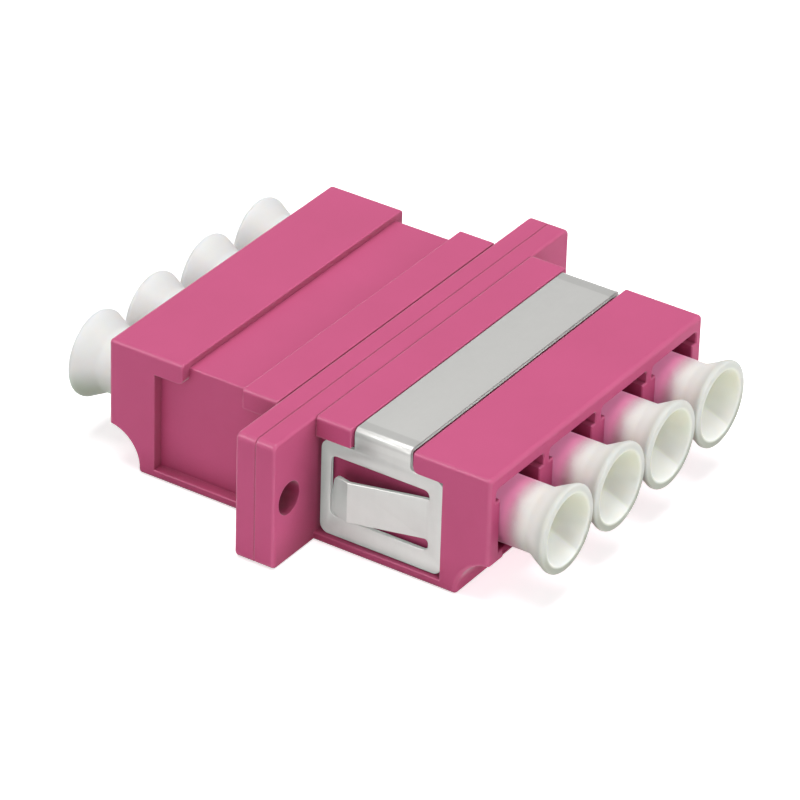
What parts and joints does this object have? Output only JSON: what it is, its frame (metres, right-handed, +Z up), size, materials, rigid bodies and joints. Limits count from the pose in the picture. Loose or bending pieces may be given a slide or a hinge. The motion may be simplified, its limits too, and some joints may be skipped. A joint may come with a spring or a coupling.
{
  "type": "lc fibre adapter",
  "caption": "Flanged panel adapter that joins fibre plugs end to end, with a snap-in steel clip, split alignment sleeves and pull-out dust caps.",
  "frame": {"origin": "under the middle of the body, on the weld seam at the base", "axes": "+X across the ports, +Y along the fibres away from the clip's side, +Z up"},
  "size_m": [0.0348, 0.037, 0.0094],
  "materials": {
    "housing": "satin magenta moulding",
    "clip": "satin stamped spring steel",
    "sleeve": "polished white ceramic",
    "cap": "soft translucent white plastic"
  },
  "bodies": {
    "adapter": {"front_housing": "housing", "rear_housing": "housing", "panel_clip": "clip", "split_sleeve_1": "sleeve", "split_sleeve_2": "sleeve", "split_sleeve_3": "sleeve", "split_sleeve_4": "sleeve"},
    "front_cap_1": {"front_cap_1": "cap"},
    "rear_cap_1": {"rear_cap_1": "cap"},
    "front_cap_2": {"front_cap_2": "cap"},
    "rear_cap_2": {"rear_cap_2": "cap"},
    "front_cap_3": {"front_cap_3": "cap"},
    "rear_cap_3": {"rear_cap_3": "cap"},
    "front_cap_4": {"front_cap_4": "cap"},
    "rear_cap_4": {"rear_cap_4": "cap"}
  },
  "joints": [
    {"name": "front_cap_1_pull", "type": "slide", "parent": "adapter", "child": "front_cap_1", "axis": [0, -1, 0], "range_m": [0, 0.014]},
    {"name": "rear_cap_1_pull", "type": "slide", "parent": "adapter", "child": "rear_cap_1", "axis": [0, 1, 0], "range_m": [0, 0.014]},
    {"name": "front_cap_2_pull", "type": "slide", "parent": "adapter", "child": "front_cap_2", "axis": [0, -1, 0], "range_m": [0, 0.014]},
    {"name": "rear_cap_2_pull", "type": "slide", "parent": "adapter", "child": "rear_cap_2", "axis": [0, 1, 0], "range_m": [0, 0.014]},
    {"name": "front_cap_3_pull", "type": "slide", "parent": "adapter", "child": "front_cap_3", "axis": [0, -1, 0], "range_m": [0, 0.014]},
    {"name": "rear_cap_3_pull", "type": "slide", "parent": "adapter", "child": "rear_cap_3", "axis": [0, 1, 0], "range_m": [0, 0.014]},
    {"name": "front_cap_4_pull", "type": "slide", "parent": "adapter", "child": "front_cap_4", "axis": [0, -1, 0], "range_m": [0, 0.014]},
    {"name": "rear_cap_4_pull", "type": "slide", "parent": "adapter", "child": "rear_cap_4", "axis": [0, 1, 0], "range_m": [0, 0.014]}
  ]
}
